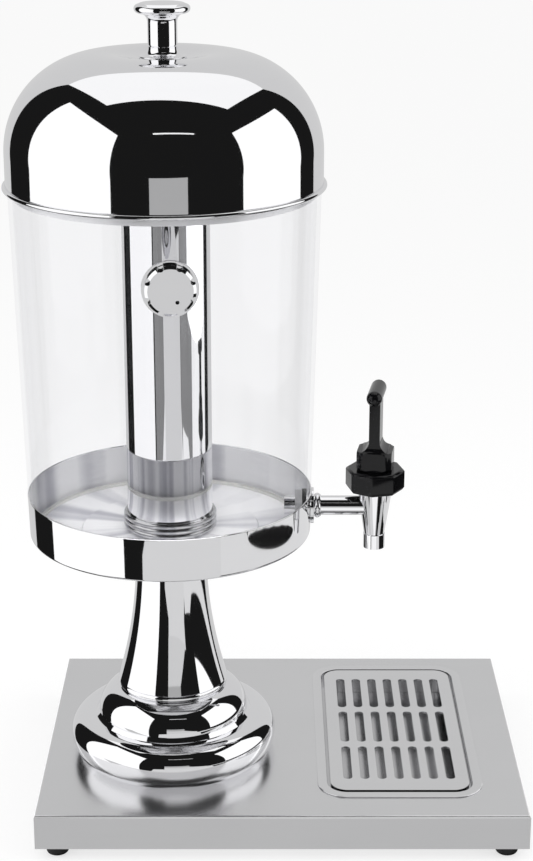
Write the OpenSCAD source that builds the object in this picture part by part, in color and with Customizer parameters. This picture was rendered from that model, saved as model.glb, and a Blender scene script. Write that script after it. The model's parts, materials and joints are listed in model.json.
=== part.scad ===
// Table juice dispenser: clear container with an ice tube on a spun pedestal,
// a lever tap and a drip tray let into the base plate.
// Millimetres, +Z up, origin at the middle of the footprint on the table.

/* [Base plate] */
// Length of the base plate, left to right
plate_l = 350; // [320:1:420]
// Depth of the base plate, front to back
plate_w = 260; // [248:1:320]
// Height of the folded sides
plate_h = 26; // [24:1:40]
// Sheet thickness of the base plate
plate_t = 1.2; // [0.8:0.1:2]
// Outside radius of the folded top edges
plate_bend_r = 1.8; // [1.3:0.1:3]
// Width of the flange turned in under the sides
return_w = 26; // [22:1:30]
// Container axis from the left side of the plate
axis_from_left = 94; // [85:1:110]
// Container axis from the front side of the plate
axis_from_front = 112; // [104:1:140]

/* [Rubber feet] */
// Diameter of a rubber foot
foot_d = 16; // [12:0.5:18]
// Height of a rubber foot
foot_h = 8; // [6:0.5:14]
// Rounding of the foot's lower edge
foot_round = 2.5; // [1:0.5:3]
// Foot centre from the left and right sides of the plate
foot_inset = 15; // [13:0.5:17]
// Foot centre from the front and back of the plate
foot_inset_deep = 11; // [10:0.5:15]
// Thread diameter of the foot screws
foot_screw_d = 4; // [3:0.5:5]

/* [Drip tray] */
// Grille width, left to right
grille_w = 100.5; // [96:0.5:110]
// Grille length, front to back
grille_l = 198; // [190:0.5:204]
// Corner radius of the grille
grille_r = 12; // [8:0.5:18]
// Thickness of the grille plate
grille_t = 1.5; // [1:0.1:2.5]
// Depth of the grille's turned-down edge
grille_edge_h = 5; // [3.5:0.1:6]
// Width of one slot
slot_w = 6.8; // [4:0.1:8]
// Length of one slot
slot_l = 50; // [40:0.5:52]
// Distance between slot columns
slot_pitch = 12.5; // [11:0.1:13]
// Distance between slot rows
slot_row_pitch = 57.6; // [55:0.1:58.5]
// Gap between grille and pan
grille_gap = 2.5; // [1.5:0.1:4]
// Width of the pan's flange
drip_flange_w = 7; // [5:0.5:10]
// Sheet thickness of the drip pan
drip_t = 1; // [0.8:0.1:1.2]
// Width of the ledge that carries the grille
drip_ledge_w = 6; // [5:0.5:10]
// Depth of the well below the ledge
drip_well_h = 11; // [6:0.5:12]
// Tray centre from the right side of the plate
tray_from_right = 89.3; // [85:0.1:100]
// Tray centre from the front side of the plate
tray_from_front = 135; // [128:0.5:145]

/* [Pedestal] */
// Largest radius of the lower tier
tier_low_r = 76.4; // [70:0.2:84]
// Section radius of the lower tier above its widest place
tier_low_round = 14.5; // [11:0.1:17]
// Section radius of the lower tier below its widest place
tier_side_round = 24; // [18:0.5:60]
// Largest radius of the upper tier
tier_up_r = 55.5; // [52:0.1:60]
// Section radius of the upper tier
tier_up_round = 22.2; // [19:0.1:25]
// Section centre of the upper tier above the lower tier
tier_up_lift = 1.5; // [1:0.1:5]
// Radius of the ring and of the neck's foot
ring_r = 40.4; // [38.5:0.1:44]
// Height of the ring
ring_h = 5.9; // [4:0.1:10]
// Height of the neck
neck_h = 108.6; // [90:0.1:150]
// Radius of the neck at its top
neck_top_r = 25.8; // [22:0.1:32]
// Straight length at the top of the neck
neck_straight = 10; // [6:0.5:20]
// Sheet thickness of the spun pieces
spun_t = 1.2; // [0.8:0.1:2]
// Diameter of the tie rod
rod_d = 12; // [8:0.5:16]
// Radius of the disc that carries the container pan
support_r = 57; // [45:0.5:62]
// Thickness of that disc
support_t = 5; // [3:0.5:8]

/* [Container] */
// Outside radius of the band at its foot
band_foot_r = 101.5; // [99:0.1:104]
// Outside radius of the band at its top
band_top_r = 102.3; // [100:0.1:105]
// Height of the band
band_h = 31.5; // [26:0.5:38]
// Sheet thickness of the pan
pan_t = 1; // [0.8:0.1:1.5]
// Radius of the raised middle of the pan floor
pan_boss_r = 63; // [62.5:0.5:75]
// Rise of the middle of the pan floor
pan_boss_h = 1.5; // [0.5:0.1:3]
// Height of the clear wall above the band
wall_h = 222.5; // [180:0.5:280]
// Thickness of the clear wall
wall_t = 3; // [2:0.1:4]
// Outward taper of the wall, per millimetre of height
wall_taper = 0.0266; // [0.02:0.0002:0.03]
// Thickness of the seal under the wall
pan_seal_t = 2; // [1:0.1:3]

/* [Ice tube] */
// Outside radius of the ice tube
tube_r = 30.7; // [26:0.1:36]
// Length of the ice tube
tube_h = 238; // [200:1:244]
// Wall of the ice tube
tube_t = 0.8; // [0.6:0.1:1.5]
// Radius of the rolled rim of the tube
tube_rim_r = 1.2; // [0.8:0.1:1.6]
// Wall of the ridged socket, below its ridges
socket_wall = 1.6; // [1.2:0.1:3]
// Height of a ridge on the socket
socket_ridge = 1; // [0.6:0.1:2]
// Number of ridges
socket_ridges = 3; // [2:1:4]
// Height of the socket
socket_h = 12; // [10:0.5:18]
// Floor of the socket
socket_floor = 3; // [2:0.5:5]

/* [Lid] */
// Outside radius of the lid's wall
lid_r = 109.2; // [108.6:0.1:112]
// Height of the straight part of the lid
lid_wall_h = 23; // [15:0.5:40]
// Radius of the lid's shoulder
lid_shoulder_r = 66.6; // [60:0.2:75]
// Depth of the hollow that seats the knob
lid_hollow = 4.6; // [3:0.1:6]
// Sheet thickness of the lid
lid_t = 0.8; // [0.6:0.1:1.2]
// Section radius of the rolled bead
bead_r = 1.6; // [1.2:0.1:2]
// How far the skirt enters the container
skirt_h = 6.5; // [4:0.5:12]
// Radius of the knob's head
knob_r = 19; // [15:0.1:24]
// Thickness of the knob's head
knob_head_h = 8; // [6:0.5:12]
// Radius of the knob's stem
knob_stem_r = 10; // [7:0.1:11]
// Height of the knob above its base
knob_h = 28; // [24:0.5:40]
// Radius of the knob's base
knob_base_r = 16.4; // [13:0.1:20]
// Height of the knob's base
knob_base_h = 8; // [6:0.5:12]
// Thread diameter of the knob's screw
knob_screw_d = 6; // [4:0.5:8]

/* [Front knob] */
// Height of the front knob above the band
front_up = 176; // [120:1:195]
// Angle of the front knob from straight ahead
front_turn = 4.2; // [-10:0.1:10]
// Radius of the notched rim
front_r = 16.8; // [14:0.1:20]
// Depth of the notched rim
front_depth = 6; // [4:0.5:9]
// Number of notches
front_notches = 8; // [6:1:12]
// Radius of a notch
front_notch_r = 2.2; // [1.5:0.1:2.8]
// Slope of the rim in front of the notches
front_bevel = 2; // [1:0.1:3]
// Diameter of the small hole in the knob's face
front_dot_d = 2.6; // [2:0.1:3.5]
// Width of the seat ring around the knob
front_seat_w = 2; // [1.5:0.1:4]
// Thickness of the seat behind the knob
front_seat_t = 3; // [2:0.1:4]
// Thread diameter of the stud
front_stud_d = 6; // [5:0.5:8]

/* [Tap] */
// Height of the tap's shank above the pan's bottom
tap_up = 18; // [16:0.5:20]
// Radius of the shank
shank_r = 7; // [6:0.1:8]
// Tap axis from the container axis
tap_reach = 148.2; // [140:0.2:165]
// Radius of the cone level with the top of the shank
cone_top_r = 11.7; // [10.8:0.1:14]
// Radius of the cone at its lower end
cone_foot_r = 7.4; // [6.8:0.1:9]
// Length of the cone from there to its lower end
cone_h = 28.3; // [24:0.1:36]
// Radius of the spout
spout_r = 7.9; // [6.4:0.1:8.6]
// Length of the spout
spout_h = 10.5; // [6:0.5:16]
// Bonnet across its corners
bonnet_d = 43; // [38:0.5:48]
// Height of the bonnet
bonnet_h = 16; // [13:0.5:20]
// Bonnet's lower face above the shank axis
bonnet_up = 13; // [11:0.5:16]
// Turn of bonnet and lever about the tap axis
head_turn = -9.5; // [-20:0.5:20]
// Hub of the lever, across
hub_w = 25.2; // [22:0.2:30]
// Height of the hub
hub_h = 14; // [12:0.5:18]
// Pin above the hub's lower face
pin_up = 8; // [7:0.5:9]
// Diameter of the lever pin
pin_d = 3; // [2:0.1:4]
// Thickness of the lever's web
web_t = 7.8; // [6:0.1:10.5]
// Width of the web at its waist
web_waist = 19; // [15:0.5:22]
// Grip bar's centre above the hub's lower face
bar_up = 56; // [48:0.5:66]
// Radius of the grip bar
bar_r = 5.6; // [4:0.1:6]
// Length of the grip bar
bar_l = 39; // [36:0.5:50]

/* [Fits] */
// Gap between pieces that lift off
lift_gap = 0.3; // [0.2:0.05:0.5]
// Gap between a fixed piece and what it goes through
fix_gap = 0.15; // [0.1:0.05:0.25]
// Radial clearance of a running pin
run_gap = 0.05; // [0.02:0.01:0.1]

/* [Hidden] */

$fn = 96;
// Facets of the wide walls that small pieces are fitted to
wide_fn = 720;
eps = 0.01;
// How far a cutting shape runs past the face that it cuts
past = 1;

// Heights, from the table up
plate_top = foot_h + plate_h;
tier_low_z = plate_top + tier_low_round;
tier_up_z = plate_top + 2 * tier_low_round + tier_up_lift;
tier_up_c = tier_up_r - tier_up_round;
ring_z = tier_up_z + sqrt(pow(tier_up_round, 2) - pow(ring_r - tier_up_c, 2));
neck_z = ring_z + ring_h;
neck_top_z = neck_z + neck_h;
support_flange_t = 4;
pan_boss_z = neck_top_z + support_flange_t + support_t;
pan_z = pan_boss_z - pan_boss_h;
band_top_z = pan_z + band_h;
wall_top_z = band_top_z + wall_h;
socket_seal_t = 0.8;
socket_z = pan_boss_z + pan_t + socket_seal_t;
tube_z = socket_z + socket_floor + lift_gap;

// Lid heights and arcs
lid_seat_z = wall_top_z + lift_gap;
lid_shoulder_z = lid_seat_z + lid_wall_h;
lid_top_z = lid_shoulder_z + lid_shoulder_r;
lid_crown_z = lid_top_z - lid_hollow;
lid_shoulder_c = lid_r - lid_shoulder_r;
lid_crown_drop = lid_crown_z - lid_shoulder_z;
hollow_r = (pow(lid_shoulder_c, 2) + pow(lid_crown_drop, 2) - pow(lid_shoulder_r, 2))
    / (2 * (lid_shoulder_r - lid_crown_drop));
// Where the shoulder arc passes into the hollow
hollow_meet = lid_shoulder_c * hollow_r / (hollow_r + lid_shoulder_r);
bead_c = wall_top_r() + lift_gap + bead_r + fix_gap;
lid_rim_r = max(bead_c + bead_r, lid_r);
knob_base_z = lid_crown_z + hollow_r - sqrt(pow(hollow_r, 2) - pow(knob_base_r, 2)) + fix_gap;
knob_z = knob_base_z + knob_base_h;

// Heights and places on the container wall
tap_z = pan_z + tap_up;
front_z = band_top_z + front_up;
front_wall_r = wall_r(front_z);
front_seat_r = front_r + front_seat_w;
front_face = front_wall_r + front_seat_t + fix_gap + run_gap + front_depth;

// Origin: middle of the whole outline
left_reach = max(lid_rim_r, axis_from_left);
right_reach = plate_l - axis_from_left;
knob_reach = front_face * cos(front_turn) + front_r * abs(sin(front_turn));
front_reach = max(knob_reach, axis_from_front, lid_rim_r);
back_reach = max(plate_w - axis_from_front, lid_rim_r);
axis_x = (left_reach - right_reach) / 2;
axis_y = (front_reach - back_reach) / 2;
plate_x = axis_x - axis_from_left;
plate_y = axis_y - axis_from_front;
tray_x = plate_x + plate_l - tray_from_right;
tray_y = plate_y + tray_from_front;

// Drip tray
drip_in_w = grille_w + 2 * grille_gap;
drip_in_l = grille_l + 2 * grille_gap;
drip_in_r = grille_r + grille_gap;
drip_ledge_z = plate_top + drip_t - grille_edge_h - grille_t - lift_gap / 2;
slot_columns = 7;
slot_rows = 3;

// Tie rod stack under the plate
rod_hole_d = rod_d + 2 * fix_gap;
backing_t = 3;
backing_r = 40;
rod_washer_t = 2;
rod_nut_h = rod_d * 0.8;
rod_nut_d = rod_d * 2;
rod_washer_z = plate_top - plate_t - backing_t - rod_washer_t;
rod_end_out = 2;
support_boss_h = 14;

// Tap
tap_x = axis_x + tap_reach;
bonnet_z = tap_z + bonnet_up;
bonnet_top_z = bonnet_z + bonnet_h;
hub_z = bonnet_top_z + lift_gap;
pin_z = hub_z + pin_up;
cone_slope = (cone_top_r - cone_foot_r) / cone_h;
cone_foot_z = tap_z + shank_r - cone_h;
cap_r = cone_top_r + cone_slope * (bonnet_up - shank_r);
collar_h = 8;
bonnet_sides = 8;
bonnet_top_in = 1.5;
bonnet_low_in = 1.6;
bonnet_low_h = 2.5;
cone_wall = 3.2;
spout_wall = 2.2;
shank_wall = 2.5;
chamber_r = cone_top_r - cone_wall;
seat_z = tap_z - shank_r + shank_wall / 5;
outlet_r = spout_r - spout_wall;
stem_r = 2.5;
cup_r = chamber_r - 1;
cup_h = 7;
bush_h = 5;
nut_h = 5;
tap_washer_r = 13;
tap_washer_t = 2;
tap_collar_r = shank_r + 2;
tap_collar_h = 5;
tap_collar_rim = 0.9;
tap_seal_t = 3;
shank_in = 16;
nut_d = 24;

// Closing spring round the stem
spring_wire_r = 0.5;
spring_r = 5;
spring_turns = 5;
spring_z = seat_z + fix_gap + cup_h + spring_wire_r + lift_gap;
spring_top_z = bonnet_top_z - bush_h - spring_wire_r - lift_gap;

// Wall radius at a height, outside
function wall_r(z) = band_top_r - lift_gap + wall_taper * (z - band_top_z);
function wall_top_r() = wall_r(wall_top_z);
function band_r(z) = band_foot_r + (band_top_r - band_foot_r) * (z - pan_z) / band_h;

// Flat shapes and places

module rounded_rect(w, l, r) {
    square([w - 2 * r, l], center = true);
    square([w, l - 2 * r], center = true);
    for (x = [-1, 1], y = [-1, 1]) {
        translate([x * (w / 2 - r), y * (l / 2 - r)]) circle(r);
    }
}

module rounded_slab(w, l, r, h) {
    linear_extrude(h) rounded_rect(w, l, r);
}

module at_axis() {
    translate([axis_x, axis_y, 0]) children();
}

// Local +X points out of the container along the tap's shank
module along_shank() {
    translate([axis_x, axis_y, tap_z]) rotate([0, 90, 0]) children();
}

// Local +Z points out of the container at the front knob
module along_stud() {
    translate([axis_x, axis_y, front_z]) rotate([90, 0, front_turn]) children();
}

module at_tap() {
    translate([tap_x, axis_y, 0]) children();
}

module at_head() {
    translate([tap_x, axis_y, 0]) rotate(head_turn) children();
}

module ring_solid(outer, inner, z, h) {
    translate([0, 0, z]) difference() {
        cylinder(r = outer, h = h);
        translate([0, 0, -past]) cylinder(r = inner, h = h + 2 * past);
    }
}

module hex_nut(across, bore_r, h) {
    difference() {
        cylinder(d = across, h = h, $fn = 6);
        translate([0, 0, -past]) cylinder(r = bore_r, h = h + 2 * past);
    }
}

module at_feet() {
    for (x = [foot_inset, plate_l - foot_inset], y = [foot_inset_deep, plate_w - foot_inset_deep]) {
        translate([plate_x + x, plate_y + y, 0]) children();
    }
}

// Base

// Outline of the folded plate across one side, with rounded upper edges
module fold_outline(w, h, r) {
    translate([0, -h]) square([w, h - r]);
    translate([r, -r]) square([w - 2 * r, r]);
    for (x = [r, w - r]) translate([x, -r]) circle(r);
}

module folded_block(inset, r) {
    w = plate_l - 2 * inset;
    d = plate_w - 2 * inset;
    translate([plate_x + inset, plate_y + inset, plate_top - inset]) intersection() {
        translate([0, d, 0]) rotate([90, 0, 0]) linear_extrude(d) fold_outline(w, plate_h, r);
        rotate([90, 0, 90]) linear_extrude(w) fold_outline(d, plate_h, r);
    }
}

module base_plate() {
    wall = drip_t + lift_gap;
    color([0.70, 0.70, 0.71]) difference() {
        folded_block(0, plate_bend_r);
        difference() {
            folded_block(plate_t, plate_bend_r - plate_t);
            translate([plate_x, plate_y, foot_h - past]) difference() {
                cube([plate_l, plate_w, plate_t + past]);
                translate([return_w, return_w, -past])
                    cube([plate_l - 2 * return_w, plate_w - 2 * return_w, plate_t + 3 * past]);
            }
        }
        translate([tray_x, tray_y, foot_h + plate_t])
            rounded_slab(drip_in_w + 2 * wall, drip_in_l + 2 * wall, drip_in_r + wall, plate_h + past);
        at_axis() translate([0, 0, plate_top - plate_t - past])
            cylinder(d = rod_hole_d, h = plate_t + 2 * past);
        at_feet() translate([0, 0, foot_h - past])
            cylinder(d = foot_screw_d + 2 * fix_gap, h = plate_t + 2 * past);
    }
}

screw_head_d = foot_screw_d * 1.8;
screw_head_h = foot_screw_d * 0.6;
screw_recess_h = screw_head_h + foot_h / 8;

module rubber_feet() {
    color([0.06, 0.06, 0.06]) at_feet() difference() {
        rotate_extrude() {
            square([foot_d / 2 - foot_round, foot_h]);
            translate([0, foot_round]) square([foot_d / 2, foot_h - foot_round]);
            translate([foot_d / 2 - foot_round, foot_round]) intersection() {
                circle(foot_round);
                translate([-foot_round, -foot_round]) square([2 * foot_round, foot_round]);
            }
        }
        translate([0, 0, -past]) cylinder(d = screw_head_d + 2 * fix_gap, h = screw_recess_h + past);
        cylinder(d = foot_screw_d + 2 * fix_gap, h = foot_h + past);
    }
}

foot_nut_h = foot_screw_d * 0.8;

module foot_screws() {
    color("silver") at_feet() {
        translate([0, 0, screw_recess_h - screw_head_h]) cylinder(d = screw_head_d, h = screw_head_h);
        translate([0, 0, screw_recess_h])
            cylinder(d = foot_screw_d, h = foot_h + plate_t + foot_nut_h + past - screw_recess_h);
    }
}

module foot_nuts() {
    color("silver") at_feet() translate([0, 0, foot_h + plate_t])
        hex_nut(foot_screw_d * 2, foot_screw_d / 2 + run_gap, foot_nut_h);
}

// Drip tray

module drip_pan() {
    well_w = drip_in_w - 2 * drip_ledge_w;
    well_l = drip_in_l - 2 * drip_ledge_w;
    well_r = drip_in_r - drip_ledge_w;
    wide_w = drip_in_w + 2 * drip_t;
    wide_l = drip_in_l + 2 * drip_t;
    floor_z = drip_ledge_z - drip_well_h;
    color([0.78, 0.78, 0.79]) translate([tray_x, tray_y, 0]) difference() {
        union() {
            translate([0, 0, plate_top]) rounded_slab(drip_in_w + 2 * drip_flange_w,
                drip_in_l + 2 * drip_flange_w, drip_in_r + drip_flange_w, drip_t);
            translate([0, 0, drip_ledge_z - drip_t])
                rounded_slab(wide_w, wide_l, drip_in_r + drip_t, plate_top - drip_ledge_z + 2 * drip_t);
            translate([0, 0, floor_z - drip_t])
                rounded_slab(well_w + 2 * drip_t, well_l + 2 * drip_t, well_r + drip_t, drip_well_h);
        }
        translate([0, 0, drip_ledge_z])
            rounded_slab(drip_in_w, drip_in_l, drip_in_r, plate_top - drip_ledge_z + 2 * drip_t);
        translate([0, 0, floor_z]) rounded_slab(well_w, well_l, well_r, drip_well_h + past);
    }
}

module drip_grille() {
    foot = drip_ledge_z + lift_gap;
    inside_w = grille_w - 2 * grille_t;
    inside_l = grille_l - 2 * grille_t;
    first_x = -(slot_columns - 1) / 2 * slot_pitch;
    first_y = -(slot_rows - 1) / 2 * slot_row_pitch;
    color([0.78, 0.78, 0.79]) translate([tray_x, tray_y, foot]) difference() {
        rounded_slab(grille_w, grille_l, grille_r, grille_edge_h + grille_t);
        translate([0, 0, -past])
            rounded_slab(inside_w, inside_l, grille_r - grille_t, grille_edge_h + past);
        for (i = [0 : slot_columns - 1], j = [0 : slot_rows - 1]) {
            translate([first_x + i * slot_pitch, first_y + j * slot_row_pitch, 0])
                rounded_slab(slot_w, slot_l, slot_w / 2 - eps, grille_edge_h + grille_t + past);
        }
    }
}

// Pedestal

// Half section of the two tiers, drawn in by the sheet thickness
module tier_section(inset) {
    low_c = tier_low_r - tier_low_round;
    side_c = tier_low_r - tier_side_round;
    intersection() {
        translate([low_c, tier_low_z]) circle(tier_low_round - inset);
        translate([low_c - tier_low_round, tier_low_z]) square(2 * tier_low_round);
    }
    intersection() {
        translate([side_c, tier_low_z]) circle(tier_side_round - inset, $fn = 180);
        translate([side_c, plate_top]) square([tier_side_round, tier_low_round]);
    }
    translate([0, plate_top]) square([low_c, 2 * tier_low_round - inset]);
    intersection() {
        translate([tier_up_c, tier_up_z]) circle(tier_up_round - inset);
        translate([0, plate_top]) square([tier_up_r, ring_z - inset - plate_top]);
    }
    translate([0, plate_top]) square([tier_up_c, ring_z - inset - plate_top]);
}

module pedestal_foot() {
    color([0.85, 0.85, 0.86]) at_axis() difference() {
        rotate_extrude() intersection() {
            difference() {
                tier_section(0);
                tier_section(spun_t);
            }
            translate([0, plate_top]) square([tier_low_r, ring_z]);
        }
        translate([0, 0, plate_top]) cylinder(d = rod_hole_d, h = ring_z);
    }
}

module pedestal_ring() {
    color([0.85, 0.85, 0.86]) at_axis() difference() {
        translate([0, 0, ring_z]) rotate_extrude() {
            square([ring_r - ring_h / 2, ring_h]);
            translate([ring_r - ring_h / 2, ring_h / 2]) circle(ring_h / 2);
        }
        translate([0, 0, ring_z - past]) cylinder(d = rod_hole_d, h = ring_h + 2 * past);
    }
}

neck_bend_z = neck_top_z - neck_straight;
neck_bend_h = neck_bend_z - neck_z;
neck_flare = ring_r - fix_gap - neck_top_r;
neck_bend_r = (pow(neck_bend_h, 2) + pow(neck_flare, 2)) / (2 * neck_flare);

// Half section of the neck: a long hollow flare with a straight top
module neck_section(inset) {
    translate([0, neck_bend_z]) square([neck_top_r - inset, neck_straight]);
    difference() {
        translate([0, neck_z]) square([ring_r - fix_gap - inset, neck_bend_h]);
        translate([neck_top_r + neck_bend_r, neck_bend_z]) circle(neck_bend_r + inset, $fn = 360);
    }
}

module pedestal_neck() {
    color([0.85, 0.85, 0.86]) at_axis() rotate_extrude() difference() {
        neck_section(0);
        neck_section(spun_t);
    }
}

module pan_support() {
    boss_r = neck_top_r - spun_t - fix_gap;
    color([0.75, 0.75, 0.76]) at_axis() difference() {
        union() {
            translate([0, 0, neck_top_z - support_boss_h]) cylinder(r = boss_r, h = support_boss_h + eps);
            translate([0, 0, neck_top_z])
                cylinder(r = neck_top_r + support_flange_t, h = support_flange_t + eps);
            translate([0, 0, neck_top_z + support_flange_t]) cylinder(r = support_r, h = support_t);
        }
        translate([0, 0, neck_top_z - support_boss_h - past])
            cylinder(d = rod_hole_d, h = support_boss_h + support_flange_t + support_t + 2 * past);
    }
}

module tie_rod() {
    rod_z = rod_washer_z - rod_nut_h - rod_end_out;
    color([0.6, 0.6, 0.62]) at_axis() translate([0, 0, rod_z])
        cylinder(d = rod_d, h = socket_z + socket_floor - lift_gap - rod_z);
}

module backing_plate() {
    color([0.65, 0.65, 0.66]) at_axis()
        ring_solid(backing_r, rod_hole_d / 2, plate_top - plate_t - backing_t, backing_t);
}

module rod_washer() {
    color([0.72, 0.72, 0.73]) at_axis() ring_solid(rod_d, rod_hole_d / 2, rod_washer_z, rod_washer_t);
}

module rod_nut() {
    color([0.72, 0.72, 0.73]) at_axis() translate([0, 0, rod_washer_z - rod_nut_h])
        hex_nut(rod_nut_d, rod_d / 2 + run_gap, rod_nut_h);
}

// Container

tap_hole_r = shank_r + 2 * fix_gap;

module tap_hole() {
    along_shank() translate([0, 0, tap_reach / 2]) cylinder(r = tap_hole_r, h = tap_reach / 2);
}

// Half section of the pan, drawn in by the sheet thickness
module pan_section(inset) {
    edge = 2 * pan_t - inset / 2;
    foot = pan_z + inset;
    side = band_foot_r - inset;
    polygon([[0, foot], [side - edge, foot], [side, foot + edge],
        [band_top_r - inset, band_top_z + inset], [0, band_top_z + inset]]);
}

module container_pan() {
    color([0.82, 0.82, 0.83]) difference() {
        at_axis() rotate_extrude() {
            difference() {
                pan_section(0);
                pan_section(pan_t);
                translate([0, pan_z - past]) square([pan_boss_r, pan_t + 2 * past]);
            }
            translate([0, pan_boss_z]) square([pan_boss_r + pan_t, pan_t]);
            translate([pan_boss_r, pan_z]) square([pan_t, pan_boss_h + pan_t]);
        }
        at_axis() translate([0, 0, pan_boss_z - past]) cylinder(d = rod_hole_d, h = pan_t + 2 * past);
        tap_hole();
    }
}

wall_z = pan_z + pan_t + pan_seal_t + 2 * fix_gap;

module pan_seal() {
    outer = band_foot_r - 3 * pan_t;
    color([0.9, 0.9, 0.88]) at_axis()
        ring_solid(outer, outer - wall_t, pan_z + pan_t + fix_gap, pan_seal_t);
}

module container_wall() {
    color([0.85, 0.9, 0.93, 0.35]) difference() {
        at_axis() rotate_extrude() polygon([
            [wall_r(wall_z) - wall_t, wall_z],
            [band_r(wall_z) - pan_t - fix_gap, wall_z],
            [band_r(band_top_z) - pan_t - fix_gap, band_top_z + fix_gap],
            [wall_r(band_top_z), band_top_z + fix_gap],
            [wall_top_r(), wall_top_z],
            [wall_top_r() - wall_t, wall_top_z]]);
        tap_hole();
        along_stud() cylinder(d = front_stud_d + 2 * fix_gap, h = front_wall_r + past);
    }
}

// Ice tube and its socket

module socket_seal() {
    color([0.2, 0.2, 0.2]) at_axis()
        ring_solid(tube_r, rod_hole_d / 2, pan_boss_z + pan_t, socket_seal_t);
}

module tube_socket() {
    bore = tube_r + lift_gap;
    root = bore + socket_wall;
    pitch = socket_h / socket_ridges;
    foot = pitch * 0.42;
    crest = foot / 3;
    color([0.8, 0.8, 0.81]) at_axis() difference() {
        translate([0, 0, socket_z]) rotate_extrude() {
            square([root, socket_h]);
            for (i = [0 : socket_ridges - 1]) {
                translate([root - eps, (i + 0.5) * pitch])
                    polygon([[0, -foot], [socket_ridge, -crest], [socket_ridge, crest], [0, foot]]);
            }
        }
        translate([0, 0, socket_z + socket_floor]) cylinder(r = bore, h = socket_h);
        translate([0, 0, socket_z - past]) cylinder(d = rod_hole_d, h = socket_floor + 2 * past);
    }
}

module ice_tube() {
    rim_z = tube_z + tube_h - tube_rim_r;
    color([0.85, 0.85, 0.86]) at_axis() difference() {
        rotate_extrude() {
            translate([0, tube_z]) square([tube_r, rim_z - tube_z]);
            translate([tube_r, rim_z]) circle(tube_rim_r);
            translate([tube_r - tube_t - eps, rim_z - eps]) square([tube_t, tube_rim_r + eps]);
        }
        translate([0, 0, tube_z + tube_t]) cylinder(r = tube_r - tube_t, h = tube_h);
    }
}

// Lid

// Half section under the lid's outside, drawn in by the sheet thickness
module dome_section(inset) {
    shoulder = lid_shoulder_r - inset;
    translate([0, lid_seat_z]) square([lid_r - inset, lid_wall_h]);
    intersection() {
        translate([lid_shoulder_c, lid_shoulder_z]) circle(shoulder, $fn = 240);
        translate([hollow_meet, lid_shoulder_z]) square([lid_r, lid_shoulder_r]);
    }
    difference() {
        translate([0, lid_shoulder_z]) square([hollow_meet, lid_shoulder_r]);
        translate([0, lid_crown_z + hollow_r]) circle(hollow_r + inset, $fn = 360);
        translate([0, lid_crown_z + hollow_r]) square([hollow_meet, hollow_r]);
    }
}

module lid_dome() {
    color([0.86, 0.86, 0.87]) at_axis() difference() {
        rotate_extrude() {
            difference() {
                dome_section(0);
                dome_section(lid_t);
            }
            translate([bead_c, lid_seat_z]) circle(bead_r);
        }
        translate([0, 0, lid_crown_z - 2 * lid_t])
            cylinder(d = knob_screw_d + 2 * fix_gap, h = lid_hollow + 2 * lid_t);
    }
}

skirt_r = wall_top_r() - wall_t - 2 * lift_gap;

module lid_skirt() {
    color([0.8, 0.8, 0.81]) at_axis() {
        ring_solid(skirt_r, skirt_r - lid_t, wall_top_z - skirt_h, skirt_h + lift_gap + lid_t);
        ring_solid(min(lid_r - lid_t, bead_c - bead_r) - fix_gap, skirt_r - lid_t, lid_seat_z, lid_t);
    }
}

module lid_knob_base() {
    edge_h = 1.2;
    flare = 0.8 * (knob_base_r - knob_stem_r);
    color([0.86, 0.86, 0.87]) at_axis() translate([0, 0, knob_base_z]) difference() {
        rotate_extrude() {
            square([knob_stem_r, knob_base_h]);
            square([knob_base_r, edge_h]);
            difference() {
                translate([0, edge_h - eps]) square([knob_stem_r + flare, flare]);
                translate([knob_stem_r + flare, edge_h + flare]) circle(flare);
            }
        }
        translate([0, 0, -past]) cylinder(d = knob_screw_d + 2 * fix_gap, h = knob_base_h + 2 * past);
    }
}

knob_screw_in = 14;

module lid_knob() {
    round_r = knob_head_h * 0.36;
    under = knob_r - knob_stem_r - round_r;
    head_z = knob_h - knob_head_h;
    rim_z = head_z + round_r / 2;
    color([0.86, 0.86, 0.87]) at_axis() translate([0, 0, knob_z]) difference() {
        rotate_extrude() {
            square([knob_stem_r, knob_h - eps]);
            translate([0, head_z + round_r]) square([knob_r - round_r, knob_head_h - round_r]);
            translate([knob_r - round_r, rim_z + round_r]) circle(round_r);
            translate([0, rim_z]) square([knob_r - round_r, round_r]);
            difference() {
                translate([0, rim_z - under]) square([knob_stem_r + under, under + eps]);
                translate([knob_stem_r + under, rim_z - under]) circle(under);
            }
        }
        translate([0, 0, -past]) cylinder(d = knob_screw_d + 2 * run_gap, h = knob_screw_in + past);
        difference() {
            translate([0, 0, knob_h - round_r]) cylinder(r = knob_r + past, h = knob_head_h);
            translate([0, 0, knob_h - round_r])
                cylinder(r1 = knob_r - round_r * 0.4, r2 = knob_r - round_r * 1.3, h = round_r);
        }
    }
}

knob_washer_t = 1.2;
knob_washer_r = knob_screw_d * 1.3;
knob_washer_z = lid_crown_z - lid_t - fix_gap - knob_washer_t;

module lid_knob_washer() {
    color([0.7, 0.7, 0.71]) at_axis()
        ring_solid(knob_washer_r, knob_screw_d / 2 + fix_gap, knob_washer_z, knob_washer_t);
}

module lid_knob_screw() {
    head_h = knob_screw_d * 0.6;
    color([0.7, 0.7, 0.71]) at_axis() {
        translate([0, 0, knob_washer_z - head_h]) difference() {
            cylinder(r = knob_screw_d * 0.9, h = head_h);
            translate([-knob_screw_d, -knob_screw_d / 10, -past])
                cube([2 * knob_screw_d, knob_screw_d / 5, head_h / 2 + past]);
        }
        translate([0, 0, knob_washer_z])
            cylinder(d = knob_screw_d, h = knob_z + knob_screw_in - past - knob_washer_z);
    }
}

// Front knob

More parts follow.
